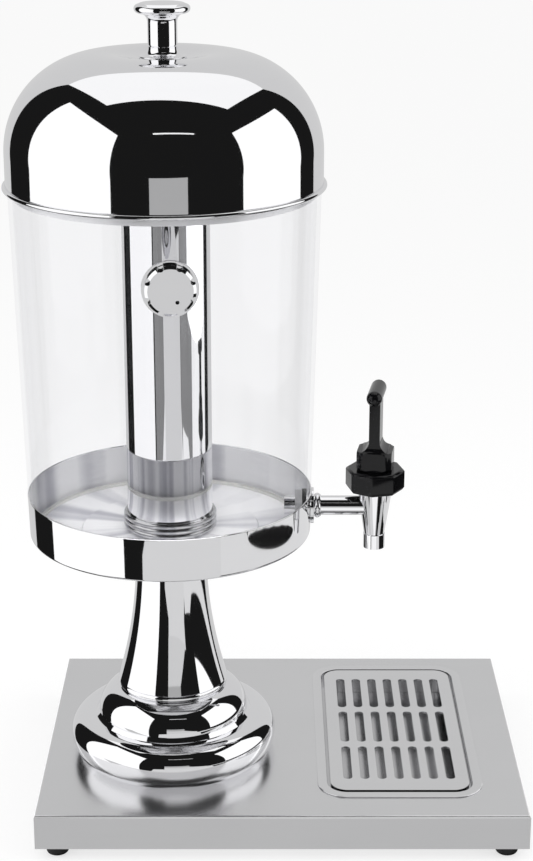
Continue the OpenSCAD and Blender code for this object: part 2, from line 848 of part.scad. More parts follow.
// The wall's outside as a solid, to fit curved backs against it
module wall_form(gap) {
    low = band_top_z + front_up - 2 * front_seat_r;
    high = band_top_z + front_up + 2 * front_seat_r;
    at_axis() translate([0, 0, low])
        cylinder(r1 = wall_r(low) + gap, r2 = wall_r(high) + gap, h = high - low, $fn = wide_fn);
}

front_back = front_wall_r + front_seat_t;

module front_seat() {
    color([0.84, 0.84, 0.85]) difference() {
        along_stud() ring_solid(front_seat_r, front_stud_d / 2 + fix_gap,
            front_wall_r - front_seat_t * 2, front_seat_t * 3);
        wall_form(fix_gap);
    }
}

module front_knob() {
    back = front_back + fix_gap + run_gap;
    color([0.84, 0.84, 0.85]) along_stud() translate([0, 0, back]) difference() {
        rotate_extrude() polygon([[0, 0], [front_r, 0], [front_r, front_depth - front_bevel],
            [front_r - front_bevel, front_depth], [0, front_depth]]);
        for (i = [0 : front_notches - 1]) {
            rotate((i + 0.5) * 360 / front_notches) translate([front_r - front_notch_r / 4, 0, 1])
                cylinder(r = front_notch_r, h = front_depth, $fn = 48);
        }
        rotate(-59) translate([front_r / 2, 0, front_depth / 4])
            cylinder(d = front_dot_d, h = front_depth, $fn = 48);
        translate([0, 0, -past])
            cylinder(d = front_stud_d + 2 * run_gap, h = front_depth - front_cap_t + past);
    }
}

front_washer_t = 1.5;
front_washer_r = front_stud_d * 1.4;
// The flat washer's edges stand off the curved wall by this much at its middle
front_washer_off = 1.2;
front_washer_at = front_wall_r - wall_t - front_washer_t - front_washer_off;
// Metal left over the end of the stud's bore in the knob
front_cap_t = 2;

module front_washer() {
    color([0.15, 0.15, 0.15]) along_stud()
        ring_solid(front_washer_r, front_stud_d / 2 + fix_gap, front_washer_at, front_washer_t);
}

module front_stud() {
    head_h = front_stud_d * 0.6;
    color([0.72, 0.72, 0.73]) along_stud() {
        translate([0, 0, front_washer_at - head_h]) cylinder(d = front_stud_d * 2, h = head_h, $fn = 6);
        translate([0, 0, front_washer_at - past])
            cylinder(d = front_stud_d, h = front_back + front_depth - front_cap_t - front_washer_at);
    }
}

// Tap

// The band's outside as a solid, to fit the washer's curved back against it
module band_form(gap) {
    at_axis() translate([0, 0, pan_z])
        cylinder(r1 = band_foot_r + gap, r2 = band_top_r + gap, h = band_h, $fn = wide_fn);
}

tap_washer_out = band_r(tap_z) + tap_washer_t;

module tap_washer() {
    color([0.84, 0.84, 0.85]) difference() {
        along_shank() ring_solid(tap_washer_r, tap_hole_r, band_foot_r - tap_washer_t,
            tap_washer_out - band_foot_r + tap_washer_t);
        band_form(fix_gap);
    }
}

// Half-round collar on the shank's thread, in front of the washer
module tap_collar() {
    bore = shank_r + run_gap;
    color([0.84, 0.84, 0.85]) along_shank() translate([0, 0, tap_washer_out + fix_gap]) difference() {
        rotate_extrude() {
            square([bore + tap_collar_rim, tap_collar_h]);
            translate([tap_collar_r - tap_collar_h / 2, tap_collar_h / 2]) circle(tap_collar_h / 2);
        }
        translate([0, 0, -past]) cylinder(r = bore, h = tap_collar_h + 2 * past);
    }
}

// The wall's inside as a solid, to fit the seal against it
module bore_form(gap) {
    at_axis() translate([0, 0, wall_z]) cylinder(r1 = wall_r(wall_z) - wall_t - gap,
        r2 = wall_r(band_top_z) - wall_t - gap, h = band_top_z - wall_z, $fn = wide_fn);
}

tap_seal_in = wall_r(tap_z) - wall_t - tap_seal_t;

module tap_seal() {
    color([0.12, 0.12, 0.12]) intersection() {
        along_shank() ring_solid(tap_washer_r - past, shank_r + fix_gap, tap_seal_in, 2 * tap_seal_t);
        bore_form(fix_gap);
    }
}

module tap_lock_nut() {
    color([0.72, 0.72, 0.73]) along_shank() translate([0, 0, tap_seal_in - fix_gap - nut_h])
        hex_nut(nut_d, shank_r + run_gap, nut_h);
}

module tap_body() {
    spout_z = cone_foot_z - spout_h;
    shank_from = wall_r(tap_z) - wall_t - shank_in;
    color([0.86, 0.86, 0.87]) difference() {
        union() {
            along_shank() translate([0, 0, shank_from]) cylinder(r = shank_r, h = tap_reach - shank_from);
            at_tap() {
                translate([0, 0, cone_foot_z])
                    cylinder(r1 = cone_foot_r, r2 = cap_r, h = bonnet_z - cone_foot_z);
                translate([0, 0, spout_z]) cylinder(r = spout_r, h = spout_h + eps);
                translate([0, 0, bonnet_z - eps]) cylinder(r = cap_r, h = collar_h);
            }
        }
        along_shank() translate([0, 0, shank_from - past])
            cylinder(r = shank_r - shank_wall, h = tap_reach - shank_from + past);
        at_tap() {
            translate([0, 0, spout_z - past]) cylinder(r = outlet_r, h = tap_z);
            translate([0, 0, seat_z]) cylinder(r = chamber_r, h = tap_z);
        }
    }
}

// Block that slopes one edge of the bonnet, over or under a side
module bonnet_bevel(z, inward, lean) {
    translate([bonnet_d / 2 * cos(180 / bonnet_sides) - inward, 0, z]) rotate([0, lean, 0])
        translate([-bonnet_d, -bonnet_d, 0]) cube(2 * bonnet_d);
}

module tap_bonnet() {
    color([0.05, 0.05, 0.055]) at_head() difference() {
        translate([0, 0, bonnet_z]) cylinder(d = bonnet_d, h = bonnet_h, $fn = bonnet_sides);
        for (i = [0 : bonnet_sides - 1]) rotate((i + 0.5) * 360 / bonnet_sides) {
            bonnet_bevel(bonnet_top_z, bonnet_top_in, 45);
            bonnet_bevel(bonnet_z, bonnet_low_in, 90 + atan2(bonnet_low_in, bonnet_low_h));
        }
        translate([0, 0, bonnet_z - past]) cylinder(r = cap_r + fix_gap, h = collar_h + past + fix_gap);
        translate([0, 0, bonnet_z]) cylinder(r = chamber_r, h = bonnet_h - bush_h);
        translate([0, 0, bonnet_z]) cylinder(r = stem_r + run_gap, h = bonnet_h + past);
    }
}

stem_eye_t = 4.4;
stem_eye_r = 3.4;

module tap_stem() {
    color([0.8, 0.8, 0.8]) at_head() difference() {
        union() {
            translate([0, 0, seat_z + cup_h / 2]) cylinder(r = stem_r, h = pin_z - seat_z - cup_h / 2);
            translate([0, stem_eye_t / 2, pin_z]) rotate([90, 0, 0])
                cylinder(r = stem_eye_r, h = stem_eye_t);
        }
        translate([0, stem_eye_t, pin_z]) rotate([90, 0, 0])
            cylinder(d = pin_d + 2 * run_gap, h = 2 * stem_eye_t);
    }
}

module tap_seat_cup() {
    color([0.75, 0.75, 0.72]) at_head() translate([0, 0, seat_z + fix_gap]) difference() {
        rotate_extrude() {
            square([cup_r - 1, cup_h]);
            square([cup_r, cup_h / 2]);
            translate([0, cup_h / 2]) square([cup_r - 0.5, cup_h / 4]);
        }
        translate([0, 0, cup_h / 2 - fix_gap]) cylinder(r = stem_r + eps, h = cup_h);
        translate([0, 0, -past]) cylinder(r = outlet_r - 1, h = cup_h / 4 + past);
    }
}

// Points round one ring of a tube that follows a helix
spring_pitch = (spring_top_z - spring_z) / spring_turns;
spring_steps = 8;
spring_rings = spring_steps * spring_turns;
spring_sides = 6;
function helix_point(a) = [spring_r * cos(a), spring_r * sin(a), spring_z + spring_pitch * a / 360];
function spring_ring(i) = let (a = i * 360 / spring_steps) [for (k = [0 : spring_sides - 1])
    let (b = k * 360 / spring_sides)
    helix_point(a) + spring_wire_r * [cos(b) * cos(a), cos(b) * sin(a), sin(b)]];
spring_gap = spring_pitch - 2 * spring_wire_r;

module tap_spring() {
    points = [for (i = [0 : spring_rings]) each spring_ring(i)];
    last = spring_rings * spring_sides;
    sides = [for (i = [0 : spring_rings - 1], k = [0 : spring_sides - 1])
        let (a = i * spring_sides + k, b = i * spring_sides + (k + 1) % spring_sides)
        each [[a, a + spring_sides, b], [b, a + spring_sides, b + spring_sides]]];
    cap0 = [for (k = [1 : spring_sides - 2]) [0, k, k + 1]];
    cap1 = [for (k = [1 : spring_sides - 2]) [last, last + k + 1, last + k]];
    echo(str("least gap between the spring's turns: ", spring_gap, " mm"));
    color([0.7, 0.7, 0.72]) at_head() polyhedron(points, concat(sides, cap0, cap1));
}

// Lever

// Block with a hollow round corner on each side, short of the tangent points
module hollow_fillet(half, r) {
    reach = 0.8 * r;
    difference() {
        translate([-half - reach, -past]) square([2 * (half + reach), reach + past]);
        for (s = [-1, 1]) translate([s * (half + r), r]) circle(r);
    }
}

// Front outline: hub, hollow shoulders and thin web up to the bar
module lever_front() {
    translate([-hub_w / 2, 0]) square([hub_w, hub_h]);
    translate([-web_t / 2, 0]) square([web_t, bar_up]);
    translate([0, hub_h]) hollow_fillet(web_t / 2, (hub_w - web_t) / 2 - 1);
}

// Side outline: full at the hub, waisted, spread again under the bar
module lever_side() {
    hub_d = hub_w + 1;
    spread = (bar_l - 2 * bar_r - web_waist) / 2;
    translate([-hub_d / 2, 0]) square([hub_d, hub_h]);
    translate([-web_waist / 2, 0]) square([web_waist, bar_up]);
    translate([0, hub_h]) hollow_fillet(web_waist / 2, (hub_d - web_waist) / 2);
    translate([0, bar_up]) mirror([0, 1]) hollow_fillet(web_waist / 2, spread);
}

// Half section of the grip bar, lengthwise, with rounded ends
module bar_section() {
    straight = bar_l / 2 - bar_r;
    upper = [for (a = [0 : 15 : 90]) [bar_r * cos(a), straight + bar_r * sin(a)]];
    lower = [for (a = [-90 : 15 : 0]) [bar_r * cos(a), bar_r * sin(a) - straight]];
    polygon(concat(upper, lower));
}

// Hub left solid in front of the pin
pin_wall = 4;

module tap_lever() {
    hub_corner = hub_w * 0.62;
    bevel = 2;
    slot_half = pin_up + 1.4;
    color([0.05, 0.05, 0.055]) at_head() translate([0, 0, hub_z]) difference() {
        union() {
            intersection() {
                translate([0, bar_l / 2, 0]) rotate([90, 0, 0]) linear_extrude(bar_l) lever_front();
                translate([-hub_w, 0, 0]) rotate([90, 0, 90]) linear_extrude(2 * hub_w) lever_side();
                rotate_extrude() polygon([[0, 0], [hub_corner - bevel, 0], [hub_corner, bevel],
                    [hub_corner, hub_h - bevel], [hub_corner - bevel / 2, hub_h],
                    [bar_l, hub_h + bar_l], [bar_l, bar_up + bar_r], [0, bar_up + bar_r]]);
            }
            translate([0, 0, bar_up]) rotate([90, 0, 0]) rotate_extrude() bar_section();
        }
        translate([-slot_half, -stem_eye_t / 2 - lift_gap, -past])
            cube([2 * slot_half, stem_eye_t + 2 * lift_gap, pin_up + stem_eye_r + lift_gap + past]);
        translate([0, bar_l / 2, pin_up]) rotate([90, 0, 0])
            cylinder(d = pin_d + 2 * run_gap, h = bar_l / 2 + hub_w / 2 - pin_wall);
    }
}

// The pin goes in from the back and stops inside the hub
module lever_pin() {
    color([0.75, 0.75, 0.76]) at_head() translate([0, hub_w / 2 - 1, pin_z]) rotate([90, 0, 0])
        cylinder(d = pin_d, h = hub_w - 1 - pin_wall - lift_gap);
}

base_plate();
rubber_feet();
foot_screws();
foot_nuts();
drip_pan();
drip_grille();
pedestal_foot();
pedestal_ring();
pedestal_neck();
pan_support();
tie_rod();
backing_plate();
rod_washer();
rod_nut();
container_pan();
pan_seal();
container_wall();
socket_seal();
tube_socket();
ice_tube();
lid_dome();
lid_skirt();
lid_knob_base();
lid_knob();
lid_knob_screw();
lid_knob_washer();
front_knob();
front_seat();
front_stud();
front_washer();
tap_body();
tap_washer();
tap_collar();
tap_seal();
tap_lock_nut();
tap_bonnet();
tap_stem();
tap_seat_cup();
tap_spring();
tap_lever();
lever_pin();
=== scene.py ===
import bmesh
import bpy
import json
import math
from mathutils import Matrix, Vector


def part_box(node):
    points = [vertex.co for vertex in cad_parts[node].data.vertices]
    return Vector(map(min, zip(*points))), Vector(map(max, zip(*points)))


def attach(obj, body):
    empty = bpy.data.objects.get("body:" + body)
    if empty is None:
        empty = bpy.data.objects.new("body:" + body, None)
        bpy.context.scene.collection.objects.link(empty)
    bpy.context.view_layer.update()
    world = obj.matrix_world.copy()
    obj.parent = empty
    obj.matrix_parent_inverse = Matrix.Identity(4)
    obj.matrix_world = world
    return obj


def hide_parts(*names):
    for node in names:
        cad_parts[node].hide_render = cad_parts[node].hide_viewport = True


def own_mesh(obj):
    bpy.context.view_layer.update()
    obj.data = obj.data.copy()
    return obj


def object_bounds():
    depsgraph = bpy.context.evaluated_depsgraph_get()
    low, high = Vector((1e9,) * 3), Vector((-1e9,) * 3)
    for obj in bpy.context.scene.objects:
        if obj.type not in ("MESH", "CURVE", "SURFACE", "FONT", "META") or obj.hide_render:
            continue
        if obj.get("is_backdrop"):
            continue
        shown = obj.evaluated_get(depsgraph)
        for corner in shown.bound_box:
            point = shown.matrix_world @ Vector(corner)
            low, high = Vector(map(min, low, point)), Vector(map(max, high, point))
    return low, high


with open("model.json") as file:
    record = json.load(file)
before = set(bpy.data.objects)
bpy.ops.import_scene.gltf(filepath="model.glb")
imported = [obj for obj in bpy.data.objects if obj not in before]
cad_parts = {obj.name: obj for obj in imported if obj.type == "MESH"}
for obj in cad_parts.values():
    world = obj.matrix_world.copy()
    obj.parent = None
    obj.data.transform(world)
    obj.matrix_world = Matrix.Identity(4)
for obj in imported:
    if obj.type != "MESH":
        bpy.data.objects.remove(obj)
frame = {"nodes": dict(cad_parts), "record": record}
cadLow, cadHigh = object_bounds()
scene = bpy.context.scene
scene.view_settings.view_transform = "Standard"

# Sizes of the pieces are millimetres in the frame, those of the stage are metres
mm = 0.001
tubeLow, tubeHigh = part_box("ice_tube")
axisX = (tubeLow.x + tubeHigh.x) / 2 / mm  # the container's axis
axisY = (tubeLow.y + tubeHigh.y) / 2 / mm


# A socket that takes part in plain arithmetic
class Flow:
    def __init__(self, tree, socket):
        self.tree = tree
        self.socket = socket

    def sum(self, operation, left, right):
        node = self.tree.nodes.new("ShaderNodeMath")
        node.operation = operation
        for place, value in enumerate((left, right)):
            if isinstance(value, Flow):
                self.tree.links.new(value.socket, node.inputs[place])
            else:
                node.inputs[place].default_value = value
        return Flow(self.tree, node.outputs[0])

    def __add__(self, other):
        return self.sum("ADD", self, other)

    def __radd__(self, other):
        return self.sum("ADD", other, self)

    def __sub__(self, other):
        return self.sum("SUBTRACT", self, other)

    def __rsub__(self, other):
        return self.sum("SUBTRACT", other, self)

    def __mul__(self, other):
        return self.sum("MULTIPLY", self, other)

    def __rmul__(self, other):
        return self.sum("MULTIPLY", other, self)

    def __pow__(self, other):
        return self.sum("POWER", self, other)

    def __rpow__(self, other):
        return self.sum("POWER", other, self)


# A node tree with one way to add any node
class Shade:
    def __init__(self, name, tree=None):
        if tree is None:
            self.material = bpy.data.materials.new(name)
            self.material.use_nodes = True
            tree = self.material.node_tree
        self.tree = tree
        self.tree.nodes.clear()

    def add(self, kind, settings, sockets, out=0):
        node = self.tree.nodes.new("ShaderNode" + kind)
        for key, value in settings.items():
            setattr(node, key, value)
        for key, value in sockets.items():
            if isinstance(value, Flow):
                self.tree.links.new(value.socket, node.inputs[key])
            else:
                node.inputs[key].default_value = value
        return Flow(self.tree, node.outputs[out]) if len(node.outputs) else node

    def place(self, scale=(1, 1, 1), shift=(0, 0, 0)):
        where = self.add("TexCoord", {}, {}, "Object")
        return self.add("Mapping", {}, {"Vector": where, "Location": shift, "Scale": scale})

    def noise(self, vector, scale, detail=2, rough=0.5):
        values = {"Vector": vector, "Scale": scale, "Detail": detail, "Roughness": rough}
        return self.add("TexNoise", {}, values)

    # Fine brush lines, longest along the axis with the smallest number in grain
    def brush(self, grain):
        return self.noise(self.place(grain), scale=1, detail=3, rough=0.6)

    def tint(self, factor, low, high):
        colours = {0: factor, 6: (*low, 1), 7: (*high, 1)}
        return self.add("Mix", {"data_type": "RGBA"}, colours, 2)

    def bump(self, height, distance):
        return self.add("Bump", {}, {"Height": height, "Distance": distance, "Strength": 1})

    def finish(self, shader):
        self.add("OutputMaterial", {}, {"Surface": shader})
        return self.material


def steel(name, low, high, rough, spread, grain, wave, metal=1):
    shade = Shade(name)
    haze = shade.noise(shade.place(), scale=14, detail=3)
    lines = shade.brush(grain)
    surface = shade.add("BsdfPrincipled", {}, {
        "Base Color": shade.tint(haze * 0.6 + lines * 0.4, low, high),
        "Metallic": metal,
        "Roughness": rough + spread * lines,
        "Normal": shade.bump(lines + haze * 0.5, wave),
    })
    return shade.finish(surface)


# Steel turned on a lathe, with painted sheen: light and dark streaks that fan out from the container's axis
# stand in for its highlights and are painted into the colour, with fine brush lines
def turnedSteelPaintedSheen(name, low, high, rough, spread, grain, wave, metal, streaks, contrast, cut):
    shade = Shade(name)
    fromAxis = shade.place((1, 1, 0), (-axisX * mm, -axisY * mm, 0))
    outward = shade.add("VectorMath", {"operation": "NORMALIZE"}, {0: fromAxis})
    paintedSheen = shade.noise(outward, scale=streaks, detail=2)
    lines = shade.brush(grain)
    surface = shade.add("BsdfPrincipled", {}, {
        # The base colour holds painted sheen: fanned streaks of highlight and dark reflection, plus brush
        # lines
        "Base Color": shade.tint(paintedSheen * contrast + lines * 0.3 - cut, low, high),
        "Metallic": metal,
        "Roughness": rough + spread * lines,
        "Normal": shade.bump(lines, wave),
    })
    return shade.finish(surface)


def softSolid(name, low, high, rough, spread, grain, wave, shine=0.5):
    shade = Shade(name)
    mottle = shade.noise(shade.place(), scale=grain, detail=3)
    worn = shade.noise(shade.place(), scale=22, detail=2)
    surface = shade.add("BsdfPrincipled", {}, {
        "Base Color": shade.tint(worn, low, high),
        "Roughness": rough + spread * worn,
        "Specular IOR Level": shine,
        "Normal": shade.bump(mottle, wave),
    })
    return shade.finish(surface)


# Clear plastic: a thin veil of gloss, stronger in upright streaks and at the edges
def clearPlastic(name, through, gloss, rough, spread, veil, streaks, edges):
    shade = Shade(name)
    wipe = shade.noise(shade.place((6, 6, 1)), scale=3, detail=2)
    mirror = shade.add("BsdfPrincipled", {}, {
        "Base Color": (*gloss, 1),
        "Metallic": 1,
        "Roughness": rough + wipe * spread,
    })
    clear = shade.add("BsdfTransparent", {}, {"Color": (*through, 1)})
    edge = shade.add("LayerWeight", {}, {"Blend": 0.5}, "Facing")
    streak = shade.noise(shade.place((42, 42, 1)), scale=1, detail=2)
    cover = veil + streak ** 3 * streaks + edge * edge * (edges + wipe * edges)
    return shade.finish(shade.add("MixShader", {}, {0: cover, 1: clear, 2: mirror}))


# Each finish: colours from low to high, roughness and its spread, grain per metre and wave in metres
steelLooks = {
    "mirrorSteel": {"low": (0.86, 0.86, 0.875), "high": (0.9, 0.9, 0.915), "rough": 0.02, "spread": 0.02,
                    "grain": (3, 3, 160), "wave": 0.0000008},
    "satinSteel": {"low": (0.72, 0.72, 0.73), "high": (0.79, 0.79, 0.8), "rough": 0.19, "spread": 0.05,
                   "grain": (5, 700, 700), "wave": 0.0000012},
    "sheetSteel": {"low": (0.745, 0.745, 0.755), "high": (0.81, 0.81, 0.82), "rough": 0.07, "spread": 0.06,
                   "grain": (5, 500, 500), "wave": 0.0000012},
    # Darker steel: in the drip pan's well it is painted shade under the grille; the tube socket takes it too
    "darkSteelAndWellShade": {"low": (0.52, 0.52, 0.53), "high": (0.66, 0.66, 0.67), "rough": 0.14, "spread": 0.1,
                  "grain": (40, 40, 40), "wave": 0.000003},
    "brushedSteel": {"low": (0.87, 0.87, 0.89), "high": (0.99, 0.99, 1), "rough": 0.26, "spread": 0.14,
                     "grain": (60, 60, 400), "wave": 0.000002, "metal": 0.2},
    "plainSteel": {"low": (0.55, 0.55, 0.56), "high": (0.68, 0.68, 0.69), "rough": 0.22, "spread": 0.16,
                   "grain": (240, 240, 240), "wave": 0.000004},
}
# low and high are the dark and light streaks of the painted sheen
turnedSheenLook = {"low": (0.36, 0.36, 0.42), "high": (0.98, 0.98, 0.99), "rough": 0.26, "spread": 0.14,
              "grain": (60, 60, 400), "wave": 0.000002, "metal": 0.2,
              "streaks": 2.6, "contrast": 3.6, "cut": 1.15}
clearLook = {"through": (0.985, 0.985, 0.988), "gloss": (0.9, 0.91, 0.93), "rough": 0.03, "spread": 0.04,
             "veil": 0.004, "streaks": 0.07, "edges": 0.05}
solidLooks = {
    "blackPlastic": {"low": (0.003, 0.003, 0.0034), "high": (0.006, 0.006, 0.0068), "rough": 0.05,
                     "spread": 0.05, "grain": 320, "wave": 0.000003, "shine": 0.36},
    "blackRubber": {"low": (0.014, 0.014, 0.014), "high": (0.026, 0.026, 0.026), "rough": 0.5,
                    "spread": 0.2, "grain": 900, "wave": 0.00003},
    "silicone": {"low": (0.72, 0.72, 0.69), "high": (0.82, 0.82, 0.79), "rough": 0.4,
                 "spread": 0.2, "grain": 500, "wave": 0.00002},
}
materials = {name: steel(name, **look) for name, look in steelLooks.items()}
materials["turnedSteelPaintedSheen"] = turnedSteelPaintedSheen("turnedSteelPaintedSheen", **turnedSheenLook)
materials["clearWall"] = clearPlastic("clearWall", **clearLook)
materials.update({name: softSolid(name, **look) for name, look in solidLooks.items()})
slotLook = {
    "mirror_steel": "mirrorSteel",
    "satin_steel": "satinSteel",
    "zinc_steel": "plainSteel",
    "clear_wall": "clearWall",
    "black_plastic": "blackPlastic",
    "black_rubber": "blackRubber",
    "white_silicone": "silicone",
}
slotOf = {entry["node"]: entry["material_slot"] for entry in frame["record"]["subparts"]}
for name, node in frame["nodes"].items():
    node.data.materials.clear()
    node.data.materials.append(materials[slotLook[slotOf[name]]])
print("materials:", len(materials))


def arc(centreR, centreZ, radius, start, end, count):
    turns = [math.radians(start + (end - start) * i / count) for i in range(count + 1)]
    return [(centreR + radius * math.cos(t), centreZ + radius * math.sin(t)) for t in turns]


# Steps round a turned piece, and the least radius that still leaves faces round the axis
turnSteps = {"large": 240, "lid": 320, "knob": 128}
axisHole = 0.05
# Degrees above which an edge stays sharp, on turned and on other pieces
creased = {"turned": 32, "other": 40}
# Rounding of a CAD node: weld in metres, flat and sharp in degrees
rounding = {"weld": 0.000002, "flat": 1, "sharp": 35, "segments": 3, "profile": 0.5}


# Spins a closed profile of (radius, height) about the container's axis
def lathe(name, profile, steps=turnSteps["large"]):
    points = []
    faces = []
    for radius, height in profile:
        for i in range(steps):
            turn = 2 * math.pi * i / steps
            points.append(((axisX + radius * math.cos(turn)) * mm,
                           (axisY + radius * math.sin(turn)) * mm, height * mm))
    for row in range(len(profile)):
        nextRow = (row + 1) % len(profile)
        for i in range(steps):
            j = (i + 1) % steps
            faces.append((row * steps + i, row * steps + j, nextRow * steps + j, nextRow * steps + i))
    mesh = bpy.data.meshes.new(name)
    mesh.from_pydata(points, [], faces)
    mesh.validate()
    return finishMesh(name, mesh, creased["turned"])


def finishMesh(name, mesh, sharp):
    mesh.polygons.foreach_set("use_smooth", [True] * len(mesh.polygons))
    mesh.set_sharp_from_angle(angle=math.radians(sharp))
    piece = bpy.data.objects.new(name, mesh)
    scene.collection.objects.link(piece)
    return piece


# Takes the place of one CAD node on its body, with the finish given
def stands(piece, node, look, body="stand"):
    piece.data.materials.clear()
    piece.data.materials.append(materials[look])
    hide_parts(node)
    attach(piece, body)
    return piece


# A copy of a CAD node with its sharp edges rounded
def rounded(name, node, width, look, body="stand"):
    shape = bmesh.new()
    shape.from_mesh(frame["nodes"][node].data)
    flat = math.radians(rounding["flat"])
    least = math.radians(rounding["sharp"])
    bmesh.ops.remove_doubles(shape, verts=shape.verts, dist=rounding["weld"])
    bmesh.ops.dissolve_limit(shape, angle_limit=flat, verts=shape.verts, edges=shape.edges)
    sharp = [edge for edge in shape.edges if edge.is_manifold and edge.calc_face_angle() > least]
    bmesh.ops.bevel(shape, geom=sharp, offset=width * mm, segments=rounding["segments"],
                    profile=rounding["profile"], affect="EDGES", clamp_overlap=True)
    mesh = bpy.data.meshes.new(name)
    shape.to_mesh(mesh)
    shape.free()
    piece = finishMesh(name, mesh, creased["other"])
    even = piece.modifiers.new("even", "WEIGHTED_NORMAL")
    even.keep_sharp = True
    return stands(piece, node, look, body)


plateTop = 34
rodHole = 6.2  # radius of the tie rod's holes down the pedestal

# Pedestal foot: two bulging tiers
foot = {
    "lowR": 76.4, "lowRound": 14.5, "sideRound": 24,
    "upR": 55.5, "upRound": 22.2, "upLift": 1.5,
    "ringR": 40.4, "crease": 1.6, "sheet": 1.2, "insideR": 38, "hem": 2,
}
lowC = foot["lowR"] - foot["lowRound"]
lowZ = plateTop + foot["lowRound"]
lowTop = lowZ + foot["lowRound"]
upC = foot["upR"] - foot["upRound"]
upZ = lowTop + foot["upLift"]
ringZ = upZ + math.sqrt(foot["upRound"] ** 2 - (foot["ringR"] - upC) ** 2)
creaseZ = lowTop + foot["crease"]
creaseR = upC + math.sqrt((foot["upRound"] + foot["crease"]) ** 2 - (creaseZ - upZ) ** 2)
creaseTurn = math.degrees(math.atan2(creaseZ - upZ, creaseR - upC))
sideTurn = math.degrees(math.asin(foot["lowRound"] / foot["sideRound"]))
ringTurn = math.degrees(math.atan2(ringZ - upZ, foot["ringR"] - upC))
footProfile = arc(foot["lowR"] - foot["sideRound"], lowZ, foot["sideRound"], -sideTurn, 0, 16)
footProfile += arc(lowC, lowZ, foot["lowRound"], 0, 90, 28)[1:]
footProfile += arc(creaseR, creaseZ, foot["crease"], -90, -180 + creaseTurn, 8)
footProfile += arc(upC, upZ, foot["upRound"], creaseTurn, ringTurn, 44)[1:]
footProfile += [(rodHole, ringZ), (rodHole, ringZ - foot["sheet"]), (foot["insideR"], ringZ - foot["sheet"])]
footProfile += [(lowC - foot["hem"], lowTop - foot["hem"]), (lowC - foot["hem"], plateTop)]
stands(lathe("pedestalFoot", footProfile), "pedestal_foot", "mirrorSteel")

# Ring between foot and neck
ring = {"r": 40.4, "h": 5.9}
ringProfile = arc(ring["r"] - ring["h"] / 2, ringZ + ring["h"] / 2, ring["h"] / 2, -90, 90, 24)
ringProfile += [(rodHole, ringZ + ring["h"]), (rodHole, ringZ)]
stands(lathe("pedestalRing", ringProfile), "pedestal_ring", "mirrorSteel")

# Neck: long hollow flare
neck = {"footR": 40.25, "topR": 25.8, "h": 108.6, "straight": 10, "sheet": 1.2, "rows": 60}
neckZ = ringZ + ring["h"]
neckTop = neckZ + neck["h"]
bendH = neck["h"] - neck["straight"]
flare = neck["footR"] - neck["topR"]
bendR = (bendH ** 2 + flare ** 2) / (2 * flare)
neckProfile = []
for i in range(neck["rows"] + 1):
    up = bendH * i / neck["rows"]
    neckProfile.append((neck["topR"] + bendR - math.sqrt(bendR ** 2 - (bendH - up) ** 2), neckZ + up))
neckProfile.append((neck["topR"], neckTop))
neckProfile += [(r - neck["sheet"], z) for r, z in reversed(neckProfile)]
stands(lathe("pedestalNeck", neckProfile), "pedestal_neck", "mirrorSteel")
print("pedestal done")

# Container pan: polished band, and inside it a turned floor with a raised boss
pan = {
    "bossZ": neckTop + 9, "bossRise": 1.5, "bossR": 63, "slope": 0.6,
    "footR": 101.5, "topR": 102.3, "h": 31.5, "sheet": 1, "round": 2, "lip": 0.5, "hold": 0.3,
}
panZ = pan["bossZ"] - pan["bossRise"]
bandTop = panZ + pan["h"]
bossFoot = pan["bossR"] + pan["sheet"]
insideR = pan["footR"] - pan["sheet"]
insideZ = panZ + pan["sheet"]
lean = (pan["topR"] - pan["footR"]) / (pan["h"] - pan["round"] - pan["lip"])
panProfile = [(bossFoot, panZ), (pan["footR"] - pan["round"], panZ)]
panProfile += arc(pan["footR"] - pan["round"], panZ + pan["round"], pan["round"], -90, 0, 8)[1:]
# Two rows near the band's ends keep its shading flat
panProfile.append((pan["footR"] + pan["hold"] * lean, panZ + pan["round"] + pan["hold"]))
panProfile.append((pan["topR"] - pan["hold"] * lean, bandTop - pan["lip"] - pan["hold"]))
panProfile += arc(pan["topR"] - pan["lip"], bandTop - pan["lip"], pan["lip"], 0, 180, 10)
bandRows = len(panProfile) - 1
panProfile.append((insideR, insideZ + pan["round"]))
panProfile += arc(insideR - pan["round"], insideZ + pan["round"], pan["round"], 0, -90, 8)[1:]
panProfile += [(bossFoot + pan["slope"], insideZ), (bossFoot - pan["slope"], pan["bossZ"] + pan["sheet"])]
panProfile.append((rodHole, pan["bossZ"] + pan["sheet"]))
floorRows = len(panProfile) - 1
panProfile += [(rodHole, pan["bossZ"]), (pan["bossR"], pan["bossZ"])]
containerPan = stands(lathe("containerPan", panProfile), "container_pan", "mirrorSteel")
# The inside wall and floor take the steel with painted sheen
containerPan.data.materials.append(materials["turnedSteelPaintedSheen"])
for face in containerPan.data.polygons[bandRows * turnSteps["large"]:floorRows * turnSteps["large"]]:
    face.material_index = 1

# Clear wall, wider at the top, standing on its seal in the pan
wall = {
    "taper": 0.0266, "thick": 3, "h": 222.5, "lip": 1.4,
    "seal": 2.3, "inset": 0.3, "footPlay": 0.05, "bandPlay": 0.15,
}
wallTop = bandTop + wall["h"]
wallZ = insideZ + wall["seal"]


def wallR(height):
    return pan["topR"] - wall["inset"] + wall["taper"] * (height - bandTop)


lipZ = wallTop - wall["lip"]
overBand = bandTop + wall["bandPlay"]
wallProfile = [(insideR - wall["footPlay"], wallZ), (pan["topR"] - pan["sheet"] - wall["bandPlay"], overBand)]
wallProfile.append((wallR(bandTop), overBand))
wallProfile += arc(wallR(wallTop) - wall["lip"], lipZ, wall["lip"], 0, 90, 8)
wallProfile += arc(wallR(wallTop) - wall["thick"] + wall["lip"], lipZ, wall["lip"], 90, 180, 8)
wallProfile.append((wallR(wallZ) - wall["thick"], wallZ))
stands(lathe("containerWall", wallProfile), "container_wall", "clearWall")

